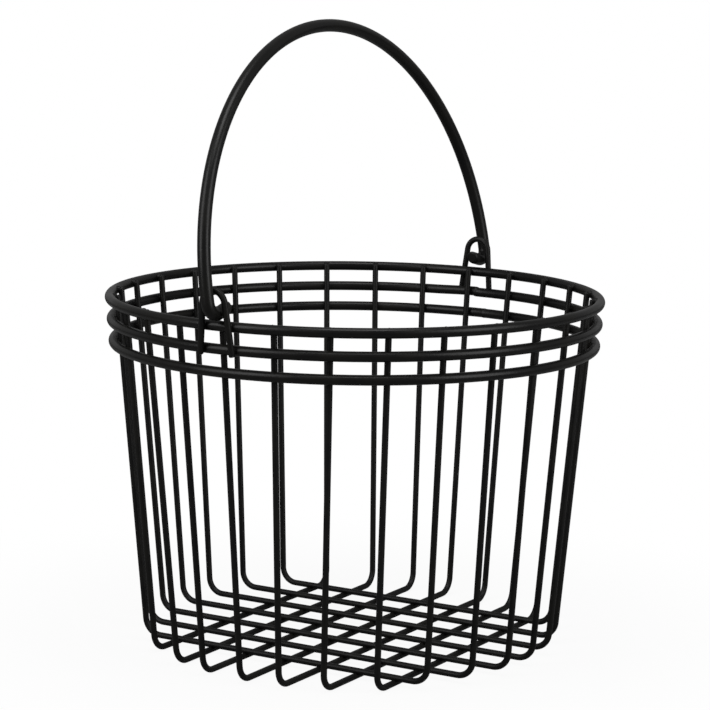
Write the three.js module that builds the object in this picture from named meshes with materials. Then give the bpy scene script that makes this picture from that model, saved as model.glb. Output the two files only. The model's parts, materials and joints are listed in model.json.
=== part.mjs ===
// Wire harvest basket: an open basket of welded wire with a swinging bail handle.
// Millimetres, +Z up. The origin is on the ground under the middle of the basket.
// X runs through both ears, along the line that the handle swings on, and Y runs across the handle.

import * as THREE from 'three';

const degree = Math.PI / 180;

// Basket body
const rimDiameter = 330; // outside of the top hoop
const bodyHeight = 235; // ground to the top of the top hoop
const floorDiameter = 278; // outside of the floor, where wall and floor would meet without a bend
const hoopWire = 6.4; // thickness of the three hoops
const hoopPitch = 14.5; // height from one hoop to the next
const wallWire = 3.9; // thickness of the wires that make the floor, the walls and the ears
const wiresEachWay = 7; // wires along X, and as many along Y
const cornerBend = 11; // centreline radius of the bend between floor and wall
const uprightDrop = 0.6; // the uprights end this far below the top of the top hoop
const weldGap = 0.3; // room left between two wires that are welded together

// Ears: hairpins on the outside of the two upper hoops
const earRise = 21.3; // top of an ear above the top of the top hoop
const earSplay = 6.2 * degree; // each leg spreads this much on its way down
const earShift = 1.1; // both ears are welded on this far towards -Y from the middle of their side
const hookPlay = 2; // room on each side of the handle's hook in the round top of an ear

// Handle: one arch with a hook at each end
const handleWire = 8.3;
const handleRise = 171.6; // swing line to the centreline of the arch at its top
const handleLean = 9.3 * degree; // the arch leans towards +Y at rest
const legClearance = 0.6; // between a leg of the handle and the outside of its ear
const hookLift = 0.7; // bottom of a hook above the top of the top hoop
const hookBend = 7.5; // centreline radius of the bend from a leg into its hook
const hookTilt = 14 * degree; // a hook points up by this much on its way in
const hookLength = 9.3; // straight end of a hook, past its bend
const restGap = 0.5; // between a hook and the ear leg that it leans on

// Facets
const hoopSegments = 96;
const thinSides = 8;
const thickSides = 12;
const cornerSteps = 6;
const earSteps = 12;
const hookSteps = 8;
const archSteps = 48;

// Places that follow from the sizes
const topHoopHeight = bodyHeight - hoopWire / 2;
const middleHoopHeight = topHoopHeight - hoopPitch;
const lowerHoopHeight = middleHoopHeight - hoopPitch;
const lowerFloorHeight = wallWire / 2;
const upperFloorHeight = lowerFloorHeight + wallWire + weldGap;
const hoopSeat = wallWire / 2 + weldGap + hoopWire / 2; // hoop centreline to that of an upright or an ear
const rimUprightRadius = rimDiameter / 2 - hoopWire / 2 - hoopSeat;
const floorCornerRadius = floorDiameter / 2 - wallWire / 2;
const wallTaper = (rimUprightRadius - floorCornerRadius) / (topHoopHeight - lowerFloorHeight);
const uprightAngle = (2 * Math.PI) / (4 * wiresEachWay);
const outermostWire = (wiresEachWay - 1) / 2;
const floorPitch = (floorCornerRadius * Math.sin(outermostWire * uprightAngle)) / outermostWire;

// Radius of the cone that holds the centrelines of all uprights
function wallRadius(height) {
  return floorCornerRadius + (height - lowerFloorHeight) * wallTaper;
}

function hoopRadius(height) {
  return wallRadius(height) + hoopSeat;
}

const earBend = handleWire / 2 + hookPlay + wallWire / 2;
const earTop = bodyHeight + earRise - wallWire / 2;
const earBendHeight = earTop - earBend;

// Half the distance between the two legs of an ear
function earHalfSpread(height) {
  return earBend / Math.cos(earSplay) + (earBendHeight - height) * Math.tan(earSplay);
}

// Distance of an ear's legs from the YZ plane where they lie on a hoop
function earReach(height) {
  return Math.sqrt((hoopRadius(height) + hoopSeat) ** 2 - earHalfSpread(height) ** 2);
}

const earSlope = (earReach(topHoopHeight) - earReach(middleHoopHeight)) / hoopPitch;
const earFootHeight = middleHoopHeight - hoopWire / 2; // level with the bottom of the middle hoop
const earTopReach = earReach(topHoopHeight) + (earTop - topHoopHeight) * earSlope;

const swingHeight = bodyHeight + hookLift + handleWire / 2;
const hookRoom = earHalfSpread(swingHeight) * Math.cos(earSplay) - wallWire / 2 - handleWire / 2;
const swingOffset = restGap - hookRoom - earShift; // the hooks lean on the -Y leg of each ear
const handleHalfWidth = earTopReach + wallWire / 2 + legClearance + handleWire / 2;

// A round wire's section as a polygon, which measures the wire's thickness across its flats
function wireSection(thickness, sides) {
  const corners = [];
  for (let i = 0; i < sides; i += 1) {
    const angle = ((i + 0.5) * 2 * Math.PI) / sides;
    const reach = thickness / 2 / Math.cos(Math.PI / sides);
    corners.push(new THREE.Vector2(reach * Math.cos(angle), reach * Math.sin(angle)));
  }
  return corners;
}

// A wire's centreline as stations, each with a point and a direction.
// One flat of the section always turns to the same side, so that the wire doesn't twist.
class WirePath extends THREE.Curve {
  constructor(stations, side) {
    super();
    this.stations = stations;
    this.side = side;
    this.steps = stations.length - 1;
  }

  getPointAt(share, target = new THREE.Vector3()) {
    return target.copy(this.stations[Math.round(share * this.steps)].point);
  }

  computeFrenetFrames() {
    const tangents = this.stations.map((station) => station.direction);
    const normals = tangents.map((tangent) => this.side.clone().projectOnPlane(tangent).normalize());
    const binormals = tangents.map((tangent, i) => tangent.clone().cross(normals[i]));
    return { tangents, normals, binormals };
  }
}

function wireGeometry(stations, side, thickness, sides) {
  const path = new WirePath(stations, side);
  const section = new THREE.Shape(wireSection(thickness, sides));
  return new THREE.ExtrudeGeometry(section, { extrudePath: path, steps: path.steps });
}

// Stations of a wire that runs straight from corner to corner and turns each one on the same radius
function bentStations(corners, radius, steps) {
  const runs = [];
  for (let i = 1; i < corners.length; i += 1) {
    runs.push(corners[i].clone().sub(corners[i - 1]).normalize());
  }
  const stations = [{ point: corners[0], direction: runs[0] }];
  for (let i = 1; i < runs.length; i += 1) {
    const turn = runs[i - 1].angleTo(runs[i]);
    const inside = runs[i].clone().projectOnPlane(runs[i - 1]).normalize();
    const start = corners[i].clone().addScaledVector(runs[i - 1], -radius * Math.tan(turn / 2));
    for (let j = 0; j <= steps; j += 1) {
      const angle = (turn * j) / steps;
      const point = start.clone().addScaledVector(runs[i - 1], radius * Math.sin(angle));
      point.addScaledVector(inside, radius * (1 - Math.cos(angle)));
      const direction = runs[i - 1].clone().multiplyScalar(Math.cos(angle));
      direction.addScaledVector(inside, Math.sin(angle));
      stations.push({ point, direction });
    }
  }
  stations.push({ point: corners[corners.length - 1], direction: runs[runs.length - 1] });
  return stations;
}

// A coated wire's mesh, with a material of its own
function wireMesh(name, geometry) {
  const coating = new THREE.MeshStandardMaterial({ color: 0x1b1b1c, roughness: 0.5, metalness: 0.1 });
  const mesh = new THREE.Mesh(geometry, coating);
  mesh.name = name;
  return mesh;
}

// Hoop: a ring of thick wire round the outside of the uprights
function makeHoop(name, height) {
  const profile = wireSection(hoopWire, thickSides);
  profile.forEach((corner) => {
    corner.x += hoopRadius(height);
  });
  profile.push(profile[0].clone());
  const hoop = wireMesh(name, new THREE.LatheGeometry(profile, hoopSegments));
  hoop.rotation.x = Math.PI / 2;
  hoop.position.z = height;
  return hoop;
}

// Floor and wall wire: up one wall, across the floor along X and up the opposite wall.
// The place counts from the middle wire. The floor runs are evenly spaced, and so are the uprights
// round the rim, so the legs of most wires fan out a little on their way up.
function makeWallWire(name, place, floorHeight) {
  const floorSide = place * floorPitch;
  const floorReach = Math.sqrt(wallRadius(floorHeight) ** 2 - floorSide ** 2);
  const uprightTop = bodyHeight - uprightDrop;
  const topSide = wallRadius(uprightTop) * Math.sin(place * uprightAngle);
  const topReach = wallRadius(uprightTop) * Math.cos(place * uprightAngle);
  const corners = [
    new THREE.Vector3(-topReach, topSide, uprightTop),
    new THREE.Vector3(-floorReach, floorSide, floorHeight),
    new THREE.Vector3(floorReach, floorSide, floorHeight),
    new THREE.Vector3(topReach, topSide, uprightTop),
  ];
  const side = new THREE.Vector3(0, 1, 0);
  const stations = bentStations(corners, cornerBend, cornerSteps);
  return wireMesh(name, wireGeometry(stations, side, wallWire, thinSides));
}

// One layer of the floor, numbered from its +Y end
function makeWireLayer(name, floorHeight) {
  const layer = new THREE.Group();
  for (let i = 0; i < wiresEachWay; i += 1) {
    layer.add(makeWallWire(`${name}_${i + 1}`, outermostWire - i, floorHeight));
  }
  return layer;
}

// Ear: a hairpin whose legs lie on the outside of the top and middle hoop.
// It is drawn in the YZ plane and leans out with the wall.
function makeEar(name) {
  const lean = Math.atan(earSlope);
  const legRun = (height) => (height - topHoopHeight) / Math.cos(lean);
  const meeting = legRun(earBendHeight) + earBend / Math.sin(earSplay);
  const foot = legRun(earFootHeight);
  const footSpread = (meeting - foot) * Math.tan(earSplay);
  const corners = [
    new THREE.Vector3(0, -footSpread, foot),
    new THREE.Vector3(0, 0, meeting),
    new THREE.Vector3(0, footSpread, foot),
  ];
  const side = new THREE.Vector3(1, 0, 0);
  const stations = bentStations(corners, earBend, earSteps);
  const ear = wireMesh(name, wireGeometry(stations, side, wallWire, thinSides));
  ear.position.set(earReach(topHoopHeight), 0, topHoopHeight);
  ear.rotation.y = lean;
  return ear;
}

// One hook of the handle, from its tip to the foot of its leg, drawn upright in the XZ plane
function hookStations() {
  const bendCentre = new THREE.Vector3(handleHalfWidth - hookBend, 0, hookBend);
  const stations = [];
  for (let i = 0; i <= hookSteps; i += 1) {
    const angle = -hookTilt + ((Math.PI / 2 + hookTilt) * i) / hookSteps;
    const direction = new THREE.Vector3(Math.cos(angle), 0, Math.sin(angle));
    const spoke = new THREE.Vector3(Math.sin(angle), 0, -Math.cos(angle));
    stations.push({ point: bendCentre.clone().addScaledVector(spoke, hookBend), direction });
  }
  const first = stations[0];
  const tip = first.point.clone().addScaledVector(first.direction, -hookLength);
  return [{ point: tip, direction: first.direction }, ...stations];
}

// Handle: half an ellipse that stands on the two hooks
function makeHandle() {
  const archRise = handleRise - hookBend;
  const hook = hookStations();
  const arch = [];
  for (let i = 1; i < archSteps; i += 1) {
    const angle = (Math.PI * i) / archSteps;
    const across = handleHalfWidth * Math.cos(angle);
    const up = hookBend + archRise * Math.sin(angle);
    const slope = new THREE.Vector3(-handleHalfWidth * Math.sin(angle), 0, archRise * Math.cos(angle));
    arch.push({ point: new THREE.Vector3(across, 0, up), direction: slope.normalize() });
  }
  const mirrored = hook.map(({ point, direction }) => ({
    point: new THREE.Vector3(-point.x, 0, point.z),
    direction: new THREE.Vector3(direction.x, 0, -direction.z),
  }));
  const stations = [...hook, ...arch, ...mirrored.reverse()];
  const side = new THREE.Vector3(0, 1, 0);
  const handle = wireMesh('handle', wireGeometry(stations, side, handleWire, thickSides));
  handle.position.set(0, swingOffset, swingHeight);
  handle.rotation.x = -handleLean;
  return handle;
}

const basket = new THREE.Group();

basket.add(makeHoop('top_hoop', topHoopHeight));
basket.add(makeHoop('middle_hoop', middleHoopHeight));
basket.add(makeHoop('lower_hoop', lowerHoopHeight));

basket.add(makeWireLayer('lower_wire', lowerFloorHeight));

const upperLayer = makeWireLayer('upper_wire', upperFloorHeight);
upperLayer.rotation.z = -Math.PI / 2;
basket.add(upperLayer);

const ears = new THREE.Group();
ears.position.y = -earShift;
ears.add(makeEar('back_ear'));
basket.add(ears);

const frontSide = new THREE.Group();
frontSide.rotation.z = Math.PI;
frontSide.add(makeEar('front_ear'));
ears.add(frontSide);

basket.add(makeHandle());

export default basket;
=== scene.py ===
# %% [markdown]
# # A wire harvest basket
# The real basket is bent from round steel wire and welded together: fourteen thin wires make its floor and
# its walls, three thick hoops hold the walls, two hairpin ears carry the handle, and a satin black coating
# covers it all. The CAD model gives every wire its place and the handle its swing, but its wires have flat
# sides. This lesson draws the same wires round, joins them with welds and gives them their finish.

# %% Load the CAD model
import json
import math

import bpy
from mathutils import Matrix, Vector
from mathutils.geometry import intersect_line_line


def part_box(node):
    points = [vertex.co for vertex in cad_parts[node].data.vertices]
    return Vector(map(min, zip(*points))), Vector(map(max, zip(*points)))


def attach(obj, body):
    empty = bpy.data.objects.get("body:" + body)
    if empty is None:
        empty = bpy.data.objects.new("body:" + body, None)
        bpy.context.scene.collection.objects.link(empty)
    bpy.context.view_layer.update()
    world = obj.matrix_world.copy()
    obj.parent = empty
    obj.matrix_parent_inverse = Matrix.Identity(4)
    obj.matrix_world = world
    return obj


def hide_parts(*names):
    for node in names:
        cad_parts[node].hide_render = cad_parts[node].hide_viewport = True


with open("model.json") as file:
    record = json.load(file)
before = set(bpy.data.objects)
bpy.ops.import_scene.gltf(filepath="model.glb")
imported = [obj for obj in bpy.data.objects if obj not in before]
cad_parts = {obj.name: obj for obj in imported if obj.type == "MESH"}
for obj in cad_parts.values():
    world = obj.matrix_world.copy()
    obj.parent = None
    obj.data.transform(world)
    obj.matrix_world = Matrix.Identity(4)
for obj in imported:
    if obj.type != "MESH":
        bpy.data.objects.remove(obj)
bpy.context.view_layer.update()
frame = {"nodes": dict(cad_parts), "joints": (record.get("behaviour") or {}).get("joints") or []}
MM = 0.001

# %% [markdown]
# ## The camera
# A camera can be turned by hand until the picture looks right, or worked out. Here the ovals of the hoops,
# the uprights and the ends of the floor gave the place the photograph was taken from: a little higher than
# the top of the handle, over one and a half metres away, with a long lens. Angles and a distance from a
# target are easier to read, and to change, than a bare location and three rotations.

# %% Place the camera
view_turn = math.radians(31.0)  # from the front ear towards -Y
view_rise = math.radians(9.2)
view_roll = math.radians(0.735)
view_distance = 1703.4 * MM
view_target = Vector((0.26, -0.43, 192.4)) * MM
lens_length = 129.9

level = math.cos(view_rise)
towards_camera = Vector((-level * math.cos(view_turn), -level * math.sin(view_turn), math.sin(view_rise)))
bpy.ops.object.camera_add(location=view_target + towards_camera * view_distance)
camera = bpy.context.object
upright_view = towards_camera.to_track_quat("Z", "Y").to_matrix()
camera.rotation_euler = (upright_view @ Matrix.Rotation(view_roll, 3, "Z")).to_euler()
camera.data.lens = lens_length
bpy.context.scene.camera = camera
print("camera at, in mm:", [round(side / MM) for side in camera.location])

# %% [markdown]
# ## Sizes that the CAD model gives
# Every wire here has to lie where its CAD node lies, so its size and place come from the boxes of those
# nodes. The CAD wires have eight flat sides, or twelve on the thick ones, and a box shows the width across
# the flats. The drawn wires are round, halfway between the flats and the corners. The few sizes that a box
# can't show, such as the radius of a bend, are written down.

# %% Measure the hoops and the wall wires


def span_of(node):
    """Width, depth and height of a CAD node."""
    low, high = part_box(node)
    return high - low


def round_width(across, flats):
    """Width of a round wire halfway between the flats and the corners of a CAD wire."""
    corner_to_corner = across / math.cos(math.pi / flats)
    return (across + corner_to_corner) / 2


hoop_names = ["top_hoop", "middle_hoop", "lower_hoop"]
hoop_across = span_of("top_hoop").z
hoop_wire = round_width(hoop_across, 12)
hoop_height = {hoop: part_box(hoop)[0].z + hoop_across / 2 for hoop in hoop_names}
hoop_radius = {hoop: (span_of(hoop).x - hoop_across) / 2 for hoop in hoop_names}
wires_each_way = sum(node.startswith("lower_wire_") for node in frame["nodes"])
outermost_wire = (wires_each_way - 1) // 2
wall_across = span_of(f"lower_wire_{outermost_wire + 1}").y
wall_wire = round_width(wall_across, 8)
weld_sink = 0.2 * MM  # two welded wires lie this deep in each other
print("hoop wire and wall wire in mm:", round(hoop_wire / MM, 2), round(wall_wire / MM, 2))

# %% [markdown]
# ## Drawing a wire
# A wire could be a curve with a round bevel, which is quick but leaves the ends and the bends to Blender.
# Here it is bent as a wire bender does it: a ring is the section, Extrude makes the straight runs and Spin
# makes each bend about its own centre, so that the bend has exactly the radius of the real one. Without a
# window, Spin counts its angle against the right-hand rule, which is why the helper turns the sign.

# %% Tools for bending wire
thin_sides = 24
thick_sides = 36
bend_steps = 16
end_steps = 5  # on the rounded edge of a cut end
smooth_angle = math.radians(40)  # sharper edges than this stay edges


def start_ring(point, direction, thickness, sides):
    """Add the section of a wire, facing along its first run, and open it for editing."""
    bpy.ops.object.select_all(action="DESELECT")
    facing = direction.to_track_quat("Z", "Y").to_euler()
    bpy.ops.mesh.primitive_circle_add(vertices=sides, radius=thickness / 2, location=point, rotation=facing)
    bpy.ops.object.transform_apply()
    bpy.ops.object.mode_set(mode="EDIT")
    bpy.ops.mesh.select_all(action="SELECT")


def run_straight(move):
    bpy.ops.mesh.extrude_region_move(TRANSFORM_OT_translate={"value": move})


def run_round(centre, axis, angle, steps):
    bpy.ops.mesh.spin(steps=steps, angle=-angle, center=centre, axis=axis)


def select_open_ends():
    bpy.ops.mesh.select_all(action="DESELECT")
    bpy.ops.mesh.select_non_manifold(extend=False, use_wire=False, use_multi_face=False,
                                     use_non_contiguous=False, use_verts=False)


def finish_wire(name):
    """Close editing on a wire whose surface is whole, and shade it as round."""
    bpy.ops.mesh.select_all(action="SELECT")
    bpy.ops.mesh.normals_make_consistent(inside=False)
    bpy.ops.object.mode_set(mode="OBJECT")
    bpy.ops.object.shade_smooth_by_angle(angle=smooth_angle)
    wire = bpy.context.object
    wire.name = name
    return wire


def round_off_ends(rounding):
    """Fill the cut ends of a wire and round their edges, as the coating does."""
    bpy.ops.mesh.select_all(action="SELECT")
    bpy.ops.mesh.fill_holes(sides=0)
    bpy.ops.mesh.select_all(action="DESELECT")
    bpy.ops.mesh.select_face_by_sides(number=4, type="GREATER")
    bpy.ops.mesh.bevel(offset=rounding, segments=end_steps, affect="EDGES")


def bend_wire(name, corners, radius, thickness):
    """Draw a wire that runs from corner to corner and turns each one on the same radius."""
    runs = [(end - start).normalized() for start, end in zip(corners, corners[1:])]
    start_ring(corners[0], runs[0], thickness, thin_sides)
    here = corners[0]
    for corner, run, next_run in zip(corners[1:], runs, runs[1:]):
        turn = run.angle(next_run)
        setback = radius * math.tan(turn / 2)
        bend_start = corner - run * setback
        run_straight(bend_start - here)
        inward = (next_run - run * run.dot(next_run)).normalized()
        run_round(bend_start + inward * radius, run.cross(next_run), turn, bend_steps)
        here = corner + next_run * setback
    run_straight(corners[-1] - here)
    rounding = thickness / 4
    round_off_ends(rounding)
    return finish_wire(name)


def turned_copy(piece, name, angle):
    """Copy a finished piece with its own mesh and turn the copy about the basket's middle."""
    bpy.ops.object.select_all(action="DESELECT")
    piece.select_set(True)
    bpy.context.view_layer.objects.active = piece
    bpy.ops.object.duplicate()
    copy = bpy.context.object
    copy.name = name
    copy.rotation_euler.z = angle
    bpy.ops.object.transform_apply()
    return copy


pieces = {}  # each finished piece with its CAD node, if it has one, its body and its coating


def keep(piece, node, body, coating):
    pieces[piece] = (node, body, coating)
    size = [round(side / MM, 1) for side in piece.dimensions]
    print(piece.name, "measures", size, "mm")


print("wires have", thin_sides, "or", thick_sides, "sides")

# %% [markdown]
# ## The hoops
# A hoop is a straight wire rolled into a ring, whose two ends are welded together. A torus would give the
# ring but no weld, so the section is spun almost the whole way round instead. The last stretch is bridged,
# and the bridge bulges a little, as a weld does. On the two lower hoops the ends don't quite meet: one of
# them is pushed up with proportional editing, which leaves a soft step in the wire.

# %% Roll the hoops
hoop_steps = 180
bead_length = 3 * MM
bead_cuts = 5
bead_bulge = {"top_hoop": 0.02, "middle_hoop": 0.08, "lower_hoop": 0.05}
seam_place = {"top_hoop": math.radians(4), "middle_hoop": math.radians(-2.2), "lower_hoop": math.radians(-5)}
seam_step = {"top_hoop": 0, "middle_hoop": 0.6 * MM, "lower_hoop": 0.15 * MM}
step_reach = 30 * MM


def roll_hoop(name):
    seam = seam_place[name]
    centre = Vector((0, 0, hoop_height[name]))
    spoke = Vector((math.cos(seam), math.sin(seam), 0))
    backwards = Vector((math.sin(seam), -math.cos(seam), 0))
    start_ring(centre + spoke * hoop_radius[name], backwards, hoop_wire, thick_sides)
    open_angle = bead_length / hoop_radius[name]
    run_round(centre, (0, 0, -1), math.tau - open_angle, hoop_steps)
    bpy.ops.transform.translate(value=(0, 0, seam_step[name]), use_proportional_edit=True,
                                use_proportional_connected=True, proportional_size=step_reach)
    select_open_ends()
    bpy.ops.mesh.bridge_edge_loops(number_cuts=bead_cuts, interpolation="PATH", smoothness=1,
                                   profile_shape="SMOOTH", profile_shape_factor=bead_bulge[name])
    return finish_wire(f"{name}_coated")


for hoop in hoop_names:
    keep(roll_hoop(hoop), hoop, "basket", "hoop_coating")

# %% [markdown]
# ## The floor and wall wires
# Each thin wire goes down one wall, across the floor and up the opposite wall. Seven run along X and lie
# on the ground, and seven run along Y on top of them. The floor runs are evenly spaced, and so are the
# uprights round the rim, so most legs fan out on their way up. In the photograph a few feet stand a
# millimetre or two beside their even place. They are written down as slips, rounded, and each wire
# is bent by itself, because a copy would repeat the slips of the first.

# %% Bend the floor and wall wires
floor_diameter = 278 * MM  # outside of the floor, where wall and floor would meet without a bend
corner_bend = 11 * MM
upright_drop = 1.4 * MM  # the uprights end this far below the top of the top hoop
floor_sink = 1 * MM  # the welds press the two layers of the floor this deep into each other
foot_slips = {  # first and last foot of a wire, in mm towards +Y on lower wires and +X on upper ones
    "lower_wire_2": (-2, 0),
    "lower_wire_4": (-1.5, 0),
    "lower_wire_5": (0, -2),
    "lower_wire_6": (1, 0),
    "lower_wire_7": (1, 0),
    "upper_wire_1": (-1, 0),
    "upper_wire_6": (0, -1),
}

upright_top = hoop_height["top_hoop"] + hoop_wire / 2 - upright_drop
lower_floor = wall_wire / 2
upper_floor = lower_floor + wall_wire - floor_sink
floor_radius = floor_diameter / 2 - wall_wire / 2
rim_radius = hoop_radius["top_hoop"] - hoop_wire / 2 - wall_wire / 2 + weld_sink
wall_taper = (rim_radius - floor_radius) / (hoop_height["top_hoop"] - lower_floor)
upright_angle = math.tau / (4 * wires_each_way)
floor_pitch = floor_radius * math.sin(outermost_wire * upright_angle) / outermost_wire


def wall_radius(height):
    return floor_radius + (height - lower_floor) * wall_taper


layers = {"lower_wire": (lower_floor, 0), "upper_wire": (upper_floor, -math.pi / 2)}
places = range(-outermost_wire, outermost_wire + 1)  # counted from the wire in the middle


def wire_node(layer, place):
    return f"{layer}_{outermost_wire - place + 1}"


def wire_corners(layer, place):
    """Ends and corners of the wire at this place. A slipped foot stays on the round of the wall."""
    floor_height, heading = layers[layer]
    first_slip, last_slip = foot_slips.get(wire_node(layer, place), (0, 0))
    first_side = place * floor_pitch + first_slip * MM
    last_side = place * floor_pitch + last_slip * MM
    first_reach = math.sqrt(wall_radius(floor_height) ** 2 - first_side**2)
    last_reach = math.sqrt(wall_radius(floor_height) ** 2 - last_side**2)
    top_side = wall_radius(upright_top) * math.sin(place * upright_angle)
    top_reach = wall_radius(upright_top) * math.cos(place * upright_angle)
    corners = [
        Vector((-top_reach, top_side, upright_top)),
        Vector((-first_reach, first_side, floor_height)),
        Vector((last_reach, last_side, floor_height)),
        Vector((top_reach, top_side, upright_top)),
    ]
    return [Matrix.Rotation(heading, 3, "Z") @ corner for corner in corners]


for layer in layers:
    for place in places:
        node = wire_node(layer, place)
        wire = bend_wire(f"{node}_coated", wire_corners(layer, place), corner_bend, wall_wire)
        keep(wire, node, "basket", "wall_wire_coating")

# %% [markdown]
# ## The ears
# An ear is a hairpin of thin wire, welded to the outside of the two upper hoops, and its round top holds
# the hook of the handle. Its legs spread a little downwards and lean out with the wall. The bender drew
# the floor wires with two corners; with three points and a tight radius it draws the hairpin too.

# %% Bend the ears
ear_bend = 8.1 * MM
ear_splay = math.radians(6.2)

ear_low, ear_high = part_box("back_ear")
ear_top = ear_high.z - wall_across / 2
ear_foot = ear_low.z
ear_shift = (ear_low.y + ear_high.y) / 2  # the ears are welded on a little beside the middle
ear_seat = hoop_wire / 2 + wall_wire / 2 - weld_sink
ear_meeting = ear_top - ear_bend + ear_bend / math.sin(ear_splay)


def ear_spread(height):
    """Half the distance between the two legs."""
    return (ear_meeting - height) * math.tan(ear_splay)


def ear_reach_on(hoop):
    """Distance of the legs from the YZ plane where they lie on a hoop."""
    return math.sqrt((hoop_radius[hoop] + ear_seat) ** 2 - ear_spread(hoop_height[hoop]) ** 2)


ear_lean = (ear_reach_on("top_hoop") - ear_reach_on("middle_hoop")) / (
    hoop_height["top_hoop"] - hoop_height["middle_hoop"])


def ear_point(side, height):
    """Point on the leg at this side, +1 or -1, or where both legs would meet, 0."""
    reach = ear_reach_on("top_hoop") + (height - hoop_height["top_hoop"]) * ear_lean
    return Vector((reach, side * ear_spread(height), height))


ear_corners = [ear_point(-1, ear_foot), ear_point(0, ear_meeting), ear_point(1, ear_foot)]
back_ear = bend_wire("back_ear_coated", ear_corners, ear_bend, wall_wire)
front_ear = turned_copy(back_ear, "front_ear_coated", math.pi)
back_ear.select_set(True)
bpy.ops.transform.translate(value=(0, ear_shift, 0))
bpy.ops.object.transform_apply()
keep(back_ear, "back_ear", "basket", "wall_wire_coating")
keep(front_ear, "front_ear", "basket", "wall_wire_coating")

# %% [markdown]
# ## The handle
# The handle is one thick wire: half an oval arch on two hooks that point inwards through the ears. Spin
# draws the hook, but an oval has no single centre to spin about, so the ring climbs the arch in small
# steps, each an extrusion and a turn. A bolt cutter leaves the end of a thick wire at a slant, and Bisect
# cuts it so while only the straight end is there. It leaves the cut selected, and turning the selection
# round picks the other ring, to go on from. The handle is the same on both sides, so one half is drawn and
# the Mirror modifier makes the other. It is drawn upright, then leaned over and set on its swing line.

# %% Bend the handle
handle_wire = 8.3 * MM
handle_rise = 171.6 * MM  # from the swing line to the middle of the wire at the top
handle_lean = math.radians(9.3)
hook_bend = 7.5 * MM
hook_tilt = math.radians(14)
hook_length = 10.8 * MM  # to the middle of the cut
cut_slant = math.radians(20)  # the cut end looks this much further down than a square one
cut_rounding = handle_wire / 5
arch_steps = 60

swing_point = Vector(frame["joints"][0]["pos_m"])
half_width = (span_of("handle").x - handle_wire) / 2
arch_rise = handle_rise - hook_bend
bend_centre = Vector((half_width - hook_bend, 0, hook_bend))
hook_run = Vector((math.cos(hook_tilt), 0, -math.sin(hook_tilt)))
hook_start = bend_centre + Vector((-math.sin(hook_tilt), 0, -math.cos(hook_tilt))) * hook_bend
hook_end = hook_start - hook_run * hook_length
cut_facing = Vector((-math.cos(hook_tilt - cut_slant), 0, math.sin(hook_tilt - cut_slant)))


def arch_point(angle):
    return Vector((half_width * math.cos(angle), 0, hook_bend + arch_rise * math.sin(angle)))


def arch_heading(angle):
    """How far the arch has turned from upright towards the middle."""
    return math.atan2(half_width * math.sin(angle), arch_rise * math.cos(angle))


cut_waste = handle_wire / 2
start_ring(hook_end - hook_run * cut_waste, hook_run, handle_wire, thick_sides)
run_straight(hook_run * (hook_length + cut_waste))
bpy.ops.mesh.select_all(action="SELECT")
bpy.ops.mesh.bisect(plane_co=hook_end, plane_no=cut_facing, clear_outer=True)
bpy.ops.mesh.select_all(action="INVERT")
run_round(bend_centre, (0, -1, 0), math.pi / 2 + hook_tilt, bend_steps)
for step in range(1, arch_steps + 1):
    before = math.pi / 2 * (step - 1) / arch_steps
    after = math.pi / 2 * step / arch_steps
    run_straight(arch_point(after) - arch_point(before))
    bpy.ops.transform.rotate(value=arch_heading(after) - arch_heading(before), orient_axis="Y",
                             center_override=arch_point(after))
bpy.ops.object.mode_set(mode="OBJECT")
mirror = bpy.context.object.modifiers.new("other half", "MIRROR")
mirror.merge_threshold = 0.01 * MM
bpy.ops.object.modifier_apply(modifier=mirror.name)
bpy.ops.object.mode_set(mode="EDIT")
round_off_ends(cut_rounding)
handle = finish_wire("handle_coated")
handle.rotation_euler.x = -handle_lean
handle.location = swing_point
bpy.ops.object.transform_apply()
keep(handle, "handle", "handle", "handle_coating")

# %% [markdown]
# ## The welds
# Wherever two wires cross they are spot-welded, and the coating runs into the narrow gap beside the weld.
# From close by this fillet is what tells welded wire from two bars that only touch. One fillet is a saddle:
# a ring that is long along the first wire, a narrower one where they touch, a ring that is long along the
# second wire and a small one that closes it. It is drawn once for each kind of crossing and copied to all
# of them. At the rim it sits higher and fuller, as the lump of coating that closes the end of an upright.

# %% Shape a weld
weld_sides = 12


def shape_weld(first_wire, second_wire, sink, climb=1.25, swell=1):
    """A fillet between a wire along X below and a wire along Y above, which touch in the plane z = 0.

    It runs along the second wire by its climb, and its swell makes it fuller.
    """
    first = first_wire / 2
    second = second_wire / 2
    first_depth = first * 0.36
    second_depth = second * 0.55
    first_half = math.sqrt(first**2 - (first - sink / 2 - first_depth) ** 2)
    second_half = math.sqrt(second**2 - (second - sink / 2 - second_depth) ** 2)
    rings = [
        (second_half * 1.5, first_half * 0.97, -first_depth),
        (second_half * 0.95 * swell, first_half * 0.85 * swell, 0),
        (second_half * 0.97 * swell, first_half * climb, second_depth),
        (second_half * 0.6, first_half * climb * 0.7, second_depth * 1.6),
    ]
    bpy.ops.object.select_all(action="DESELECT")
    bpy.ops.mesh.primitive_circle_add(vertices=weld_sides, radius=1)
    bpy.ops.object.mode_set(mode="EDIT")
    bpy.ops.mesh.select_all(action="SELECT")
    width, depth, height = rings[0]
    bpy.ops.transform.resize(value=(width, depth, 1))
    bpy.ops.transform.translate(value=(0, 0, height))
    for next_width, next_depth, next_height in rings[1:]:
        run_straight((0, 0, next_height - height))
        growth = (next_width / width, next_depth / depth, 1)
        bpy.ops.transform.resize(value=growth, center_override=(0, 0, next_height))
        width, depth, height = next_width, next_depth, next_height
    bpy.ops.mesh.select_all(action="SELECT")
    bpy.ops.mesh.fill_holes(sides=0)
    return finish_wire("weld")


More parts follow.
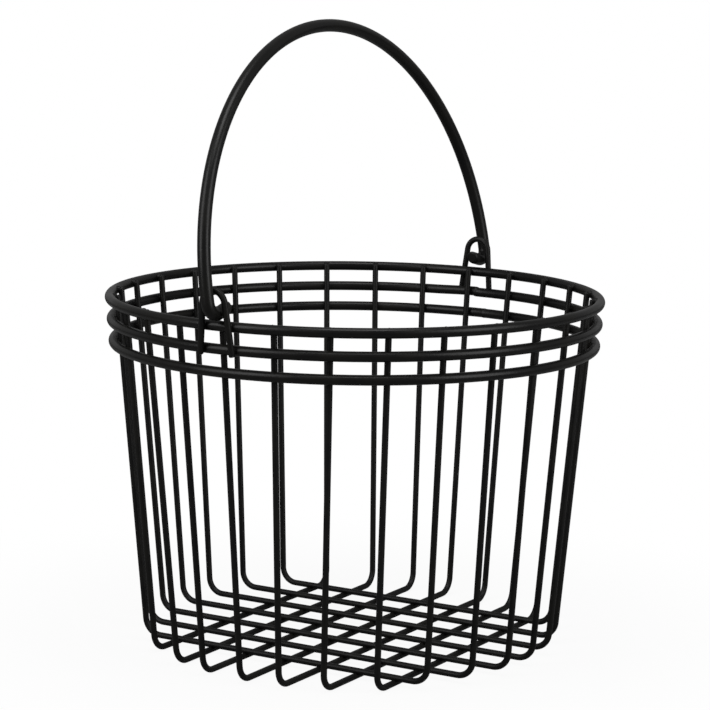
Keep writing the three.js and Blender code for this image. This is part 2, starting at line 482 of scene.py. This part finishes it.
def copy_welds(weld, name, places):
    """Copy a weld to each place, with its own mesh, and join the copies to one piece."""
    copies = []
    for place in places:
        bpy.ops.object.select_all(action="DESELECT")
        weld.select_set(True)
        bpy.context.view_layer.objects.active = weld
        bpy.ops.object.duplicate()
        copy = bpy.context.object
        copy.matrix_world = place
        bpy.ops.object.transform_apply()
        copies.append(copy)
    bpy.ops.object.select_all(action="DESELECT")
    for copy in copies:
        copy.select_set(True)
    bpy.context.view_layer.objects.active = copies[0]
    bpy.ops.object.join()
    bpy.data.objects.remove(weld)
    copies[0].name = name
    return copies[0]


def weld_place(point, first_run, outwards):
    """Where a weld goes: its first wire runs along first_run, and its second lies outwards of the first."""
    second_run = outwards.cross(first_run)
    turn = Matrix((first_run, second_run, outwards)).transposed()
    return Matrix.Translation(point) @ turn.to_4x4()


def round_hoop(hoop, angle, side):
    """Weld place on the inner or outer side, -1 or +1, of a hoop."""
    spoke = Vector((math.cos(angle), math.sin(angle), 0))
    along = Vector((-math.sin(angle), math.cos(angle), 0)) * side
    middle = Vector((0, 0, hoop_height[hoop]))
    reach = hoop_radius[hoop] + side * (hoop_wire - weld_sink) / 2
    return weld_place(middle + spoke * reach, along, spoke * side)


# %% Weld the floor


def crossing(lower_place, upper_place):
    """Middle of the spot where two floor wires cross."""
    lower_feet = wire_corners("lower_wire", lower_place)[1:3]
    upper_feet = wire_corners("upper_wire", upper_place)[1:3]
    on_lower, on_upper = intersect_line_line(*lower_feet, *upper_feet)
    return (on_lower + on_upper) / 2


x_axis = Vector((1, 0, 0))
z_axis = Vector((0, 0, 1))
floor_places = [
    weld_place(crossing(lower_place, upper_place), x_axis, z_axis)
    for lower_place in places for upper_place in places
]
floor_welds = copy_welds(shape_weld(wall_wire, wall_wire, floor_sink), "floor_welds", floor_places)
keep(floor_welds, None, "basket", "wall_wire_coating")

# %% Weld the uprights to the hoops


def upright_angles(hoop):
    """Angles at which the uprights pass a hoop."""
    angles = []
    for layer in layers:
        for place in places:
            first_top, first_foot, last_foot, last_top = wire_corners(layer, place)
            for foot, top in ((first_foot, first_top), (last_foot, last_top)):
                share = (hoop_height[hoop] - foot.z) / (top.z - foot.z)
                point = foot.lerp(top, share)
                angles.append(math.atan2(point.y, point.x))
    return angles


hoop_places = [round_hoop(hoop, angle, -1) for hoop in hoop_names[1:] for angle in upright_angles(hoop)]
hoop_welds = copy_welds(shape_weld(hoop_wire, wall_wire, weld_sink), "hoop_welds", hoop_places)
keep(hoop_welds, None, "basket", "wall_wire_coating")

# %% Weld the uprights to the rim
rim_lift = 0.5 * MM  # these welds sit high, as lumps that close the ends of the uprights
rim_weld = shape_weld(hoop_wire, wall_wire, weld_sink, climb=0.85, swell=1.15)
lifted = Matrix.Translation((0, 0, rim_lift))
rim_places = [lifted @ round_hoop("top_hoop", angle, -1) for angle in upright_angles("top_hoop")]
rim_welds = copy_welds(rim_weld, "rim_welds", rim_places)
keep(rim_welds, None, "basket", "wall_wire_coating")

# %% Weld the ears to the hoops
ear_places = []
for hoop in hoop_names[:2]:
    for side in (-1, 1):
        leg = ear_point(side, hoop_height[hoop])
        for end in (-1, 1):
            ear_places.append(round_hoop(hoop, math.atan2(leg.y + ear_shift, end * leg.x), 1))
ear_welds = copy_welds(shape_weld(hoop_wire, wall_wire, weld_sink), "ear_welds", ear_places)
keep(ear_welds, None, "basket", "wall_wire_coating")

# %% [markdown]
# ## The coating
# All wires have the same satin black coating. A single black would look like a hole in the picture, so the
# coating gets what the eye reads as paint on steel: a colour that drifts between a cool and a warm black,
# a gloss that is a little uneven and a fine orange peel that breaks up the highlights. The patterns read
# Object coordinates, in metres, so they keep their real size on every wire.

# %% Mix the coating


def coating(name, drift_scale, peel_scale, dullness, shine):
    """Satin black paint: patches and bumps per metre, lowest roughness and strength of reflections."""
    material = bpy.data.materials.new(name)
    material.use_nodes = True
    nodes = material.node_tree.nodes
    links = material.node_tree.links
    paint = nodes["Principled BSDF"]
    paint.inputs["Specular IOR Level"].default_value = shine
    where = nodes.new("ShaderNodeTexCoord")

    drift = nodes.new("ShaderNodeTexNoise")
    drift.inputs["Scale"].default_value = drift_scale
    drift.inputs["Detail"].default_value = 3
    links.new(where.outputs["Object"], drift.inputs["Vector"])
    blacks = nodes.new("ShaderNodeValToRGB")
    blacks.color_ramp.elements[0].position = 0.35
    blacks.color_ramp.elements[0].color = (0.0024, 0.0024, 0.0025, 1)
    blacks.color_ramp.elements[1].position = 0.68
    blacks.color_ramp.elements[1].color = (0.0046, 0.0043, 0.0035, 1)
    links.new(drift.outputs["Fac"], blacks.inputs["Fac"])
    links.new(blacks.outputs["Color"], paint.inputs["Base Color"])

    gloss = nodes.new("ShaderNodeMapRange")
    gloss.inputs["From Min"].default_value = 0.3
    gloss.inputs["From Max"].default_value = 0.7
    gloss.inputs["To Min"].default_value = dullness
    gloss.inputs["To Max"].default_value = dullness + 0.12
    links.new(drift.outputs["Fac"], gloss.inputs["Value"])
    links.new(gloss.outputs["Result"], paint.inputs["Roughness"])

    peel = nodes.new("ShaderNodeTexNoise")
    peel.inputs["Scale"].default_value = peel_scale
    peel.inputs["Detail"].default_value = 2
    links.new(where.outputs["Object"], peel.inputs["Vector"])
    bumps = nodes.new("ShaderNodeBump")
    bumps.inputs["Strength"].default_value = 0.25
    bumps.inputs["Distance"].default_value = 0.15 * MM
    links.new(peel.outputs["Fac"], bumps.inputs["Height"])
    links.new(bumps.outputs["Normal"], paint.inputs["Normal"])
    return material


coatings = {
    "hoop_coating": coating("hoop_coating_satin", 40, 700, 0.29, 0.17),
    "wall_wire_coating": coating("wall_wire_coating_satin", 60, 900, 0.38, 0.15),
    "handle_coating": coating("handle_coating_satin", 30, 600, 0.3, 0.17),
}
print("coatings:", sorted(coatings))

# %% Dress the pieces and seat them on their bodies
for piece, (node, body, finish) in pieces.items():
    piece.data.materials.append(coatings[finish])
    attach(piece, body)
    if node:
        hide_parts(node)
print("pieces dressed:", len(pieces))

# %% [markdown]
# ## The studio
# The photograph shows the basket on plain white. The floor is a white sheet that the camera sees nearly at
# full white, and a part of it still takes light and shadow, so the wires stand on it and don't float. The
# world gives a weak, even light from all sides. Three soft lamps add the long highlights along the wires:
# one on each side of the camera and one from above.

# %% Lay the floor
bpy.ops.object.select_all(action="DESELECT")
floor_size = 60
bpy.ops.mesh.primitive_plane_add(size=floor_size)
floor = bpy.context.object
floor.name = "floor"


def white_paper():
    """Paper that the camera sees as white, with a trace of shadow near the basket. Other rays see grey."""
    material = bpy.data.materials.new("white_paper")
    material.use_nodes = True
    nodes = material.node_tree.nodes
    links = material.node_tree.links
    sheet = nodes["Principled BSDF"]
    sheet.inputs["Roughness"].default_value = 0.9
    sheet.inputs["Specular IOR Level"].default_value = 0.1
    path = nodes.new("ShaderNodeLightPath")
    tone = nodes.new("ShaderNodeMapRange")
    tone.inputs["To Min"].default_value = 0.25
    tone.inputs["To Max"].default_value = 0.56
    links.new(path.outputs["Is Camera Ray"], tone.inputs["Value"])
    links.new(tone.outputs["Result"], sheet.inputs["Base Color"])

    where = nodes.new("ShaderNodeTexCoord")
    distance = nodes.new("ShaderNodeVectorMath")
    distance.operation = "LENGTH"
    links.new(where.outputs["Object"], distance.inputs[0])
    fade = nodes.new("ShaderNodeMapRange")
    fade.interpolation_type = "SMOOTHSTEP"
    fade.inputs["From Min"].default_value = 0.12
    fade.inputs["From Max"].default_value = 0.4
    fade.inputs["To Min"].default_value = 0.92
    links.new(distance.outputs["Value"], fade.inputs["Value"])
    glow_share = nodes.new("ShaderNodeMath")
    glow_share.operation = "MULTIPLY"
    links.new(path.outputs["Is Camera Ray"], glow_share.inputs[0])
    links.new(fade.outputs["Result"], glow_share.inputs[1])

    glow = nodes.new("ShaderNodeEmission")
    mix = nodes.new("ShaderNodeMixShader")
    links.new(glow_share.outputs["Value"], mix.inputs["Fac"])
    links.new(sheet.outputs["BSDF"], mix.inputs[1])
    links.new(glow.outputs["Emission"], mix.inputs[2])
    links.new(mix.outputs["Shader"], nodes["Material Output"].inputs["Surface"])
    return material


floor.data.materials.append(white_paper())
print("floor laid,", floor_size, "m wide")

# %% Light the world
room_light = 0.32
world = bpy.data.worlds.new("studio")
bpy.context.scene.world = world
world.use_nodes = True
world_nodes = world.node_tree.nodes
world_links = world.node_tree.links
room = world_nodes["Background"]
room.inputs["Color"].default_value = (1, 1, 1, 1)
world_path = world_nodes.new("ShaderNodeLightPath")
brightness = world_nodes.new("ShaderNodeMapRange")
brightness.inputs["To Min"].default_value = room_light
world_links.new(world_path.outputs["Is Camera Ray"], brightness.inputs["Value"])
world_links.new(brightness.outputs["Result"], room.inputs["Strength"])
print("world strength:", room_light)

# %% Hang the lamps
aim_height = 0.2


def hang_lamp(name, turn, rise, distance, width, height, power):
    """A soft lamp that looks at the basket, turned and raised in degrees from the camera's side."""
    angle = view_turn + math.radians(turn)
    lift = math.radians(rise)
    aim = Vector((0, 0, aim_height))
    spoke = Vector((-math.cos(lift) * math.cos(angle), -math.cos(lift) * math.sin(angle), math.sin(lift)))
    facing = spoke.to_track_quat("Z", "Y").to_euler()
    bpy.ops.object.light_add(type="AREA", location=aim + spoke * distance, rotation=facing)
    lamp = bpy.context.object
    lamp.name = name
    lamp.data.shape = "RECTANGLE"
    lamp.data.size = width
    lamp.data.size_y = height
    lamp.data.energy = power
    print(name, "gives", power, "W")


hang_lamp("left_lamp", -56, 30, 1.6, 0.8, 1.2, 16)
hang_lamp("right_lamp", 57, 22, 1.6, 0.8, 1.2, 16)
hang_lamp("top_lamp", 0, 77, 1.7, 0.8, 0.8, 14)

# %% [markdown]
# ## The view transform
# The scene keeps colours as they are mixed, with the Standard view transform.

# %% Keep colours as mixed
bpy.context.scene.view_settings.view_transform = "Standard"
